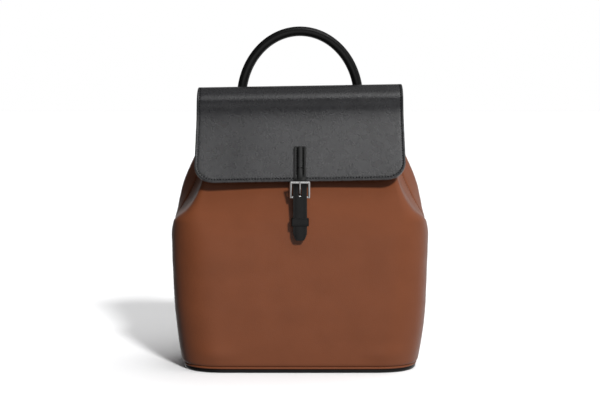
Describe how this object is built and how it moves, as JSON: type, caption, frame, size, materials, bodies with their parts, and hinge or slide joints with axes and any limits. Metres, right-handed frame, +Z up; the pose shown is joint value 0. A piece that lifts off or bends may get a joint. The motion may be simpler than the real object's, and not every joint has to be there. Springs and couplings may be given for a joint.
{
  "type": "leather backpack",
  "caption": "Structured leather backpack with a narrow mouth, fold-over flap, buckled closing strap on a magnetic snap, rolled top handle and two adjustable shoulder straps.",
  "frame": {"origin": "middle of the base's underside, on the surface the bag stands on", "axes": "+Z up, front of the bag faces -Y, +X to the right as seen from the front"},
  "size_m": [0.2678, 0.1795, 0.3578],
  "materials": {
    "brown_leather": "smooth full-grain leather, semi-matt, fine grain",
    "black_pebbled_leather": "pebbled grain leather, satin",
    "black_smooth_leather": "smooth leather, satin, painted edges",
    "flap_lining_leather": "thin matt lining leather",
    "lining_fabric": "cotton twill",
    "polished_metal": "polished nickel plate",
    "stiffener_board": "pressed fibre board",
    "cord_core": "twisted cotton cord"
  },
  "bodies": {
    "bag": {"front_panel": "brown_leather", "back_panel": "brown_leather", "lining": "lining_fabric", "mouth_binding": "brown_leather", "base_panel": "black_smooth_leather", "base_piping": "brown_leather", "base_board": "stiffener_board", "inner_pocket": "lining_fabric", "snap_socket": "polished_metal", "snap_washer": "polished_metal", "back_yoke": "black_pebbled_leather", "handle_tab_right": "black_smooth_leather", "handle_tab_left": "black_smooth_leather", "shoulder_stub_right": "black_smooth_leather", "shoulder_stub_left": "black_smooth_leather", "shoulder_anchor_right": "black_smooth_leather", "shoulder_anchor_left": "black_smooth_leather"},
    "flap_crown": {"crown_leather": "black_pebbled_leather", "crown_lining": "flap_lining_leather"},
    "flap_front": {"flap_leather": "black_pebbled_leather", "flap_board": "stiffener_board", "flap_lining": "flap_lining_leather", "closing_strap": "black_smooth_leather", "buckle_chape": "black_smooth_leather", "snap_stud": "polished_metal"},
    "closing_buckle": {"buckle_frame": "polished_metal"},
    "closing_prong": {"buckle_prong": "polished_metal"},
    "closing_keeper": {"strap_keeper": "black_smooth_leather"},
    "handle": {"handle_grip": "black_smooth_leather", "handle_core": "cord_core"},
    "shoulder_strap_right": {"shoulder_strap_upper_right": "black_smooth_leather", "shoulder_strap_lower_right": "black_smooth_leather", "shoulder_chape_right": "black_smooth_leather"},
    "shoulder_buckle_right": {"shoulder_buckle_frame_right": "polished_metal"},
    "shoulder_prong_right": {"shoulder_buckle_prong_right": "polished_metal"},
    "shoulder_loop_right": {"shoulder_keeper_right": "black_smooth_leather"},
    "shoulder_strap_left": {"shoulder_strap_upper_left": "black_smooth_leather", "shoulder_strap_lower_left": "black_smooth_leather", "shoulder_chape_left": "black_smooth_leather"},
    "shoulder_buckle_left": {"shoulder_buckle_frame_left": "polished_metal"},
    "shoulder_prong_left": {"shoulder_buckle_prong_left": "polished_metal"},
    "shoulder_loop_left": {"shoulder_keeper_left": "black_smooth_leather"}
  },
  "joints": [
    {"name": "flap_hinge", "type": "hinge", "parent": "bag", "child": "flap_crown", "pos_m": [0, 0.034, 0.286], "axis": [-1, 0, 0], "range_deg": [0, 95]},
    {"name": "flap_fold", "type": "hinge", "parent": "flap_crown", "child": "flap_front", "pos_m": [0, -0.0142, 0.2819], "axis": [-1, 0, 0], "range_deg": [0, 70]},
    {"name": "closing_buckle_pivot", "type": "hinge", "parent": "flap_front", "child": "closing_buckle", "pos_m": [0, -0.062, 0.1802], "axis": [1, 0, 0], "range_deg": [0, 12]},
    {"name": "closing_prong_pivot", "type": "hinge", "parent": "closing_buckle", "child": "closing_prong", "pos_m": [0, -0.062, 0.1802], "axis": [1, 0, 0], "range_deg": [0, 10]},
    {"name": "closing_keeper_slide", "type": "slide", "parent": "flap_front", "child": "closing_keeper", "axis": [0, 0, 1], "range_m": [-0.005, 0.003]},
    {"name": "handle_tilt", "type": "hinge", "parent": "bag", "child": "handle", "pos_m": [0, 0.052, 0.2605], "axis": [-1, 0, 0], "range_deg": [0, 75]},
    {"name": "shoulder_swing_right", "type": "hinge", "parent": "bag", "child": "shoulder_strap_right", "pos_m": [0.032, 0.0585, 0.236], "axis": [0.2553, 0.0319, -0.9663], "range_deg": [-25, 25]},
    {"name": "shoulder_buckle_pivot_right", "type": "hinge", "parent": "shoulder_strap_right", "child": "shoulder_buckle_right", "pos_m": [0.06717, 0.10052, 0.10284], "axis": [0.9668, 0, 0.2554], "range_deg": [0, 12]},
    {"name": "shoulder_prong_pivot_right", "type": "hinge", "parent": "shoulder_buckle_right", "child": "shoulder_prong_right", "pos_m": [0.06717, 0.10052, 0.10284], "axis": [0.9668, 0, 0.2554], "range_deg": [0, 10]},
    {"name": "shoulder_keeper_slide_right", "type": "slide", "parent": "shoulder_strap_right", "child": "shoulder_loop_right", "axis": [0.2553, 0.0319, -0.9663], "range_m": [-0.006, 0.002]},
    {"name": "shoulder_swing_left", "type": "hinge", "parent": "bag", "child": "shoulder_strap_left", "pos_m": [-0.032, 0.0585, 0.236], "axis": [0.2553, -0.0319, 0.9663], "range_deg": [-25, 25]},
    {"name": "shoulder_buckle_pivot_left", "type": "hinge", "parent": "shoulder_strap_left", "child": "shoulder_buckle_left", "pos_m": [-0.06717, 0.10052, 0.10284], "axis": [0.9668, 0, -0.2554], "range_deg": [0, 12]},
    {"name": "shoulder_prong_pivot_left", "type": "hinge", "parent": "shoulder_buckle_left", "child": "shoulder_prong_left", "pos_m": [-0.06717, 0.10052, 0.10284], "axis": [0.9668, 0, -0.2554], "range_deg": [0, 10]},
    {"name": "shoulder_keeper_slide_left", "type": "slide", "parent": "shoulder_strap_left", "child": "shoulder_loop_left", "axis": [-0.2553, 0.0319, -0.9663], "range_m": [-0.006, 0.002]}
  ]
}
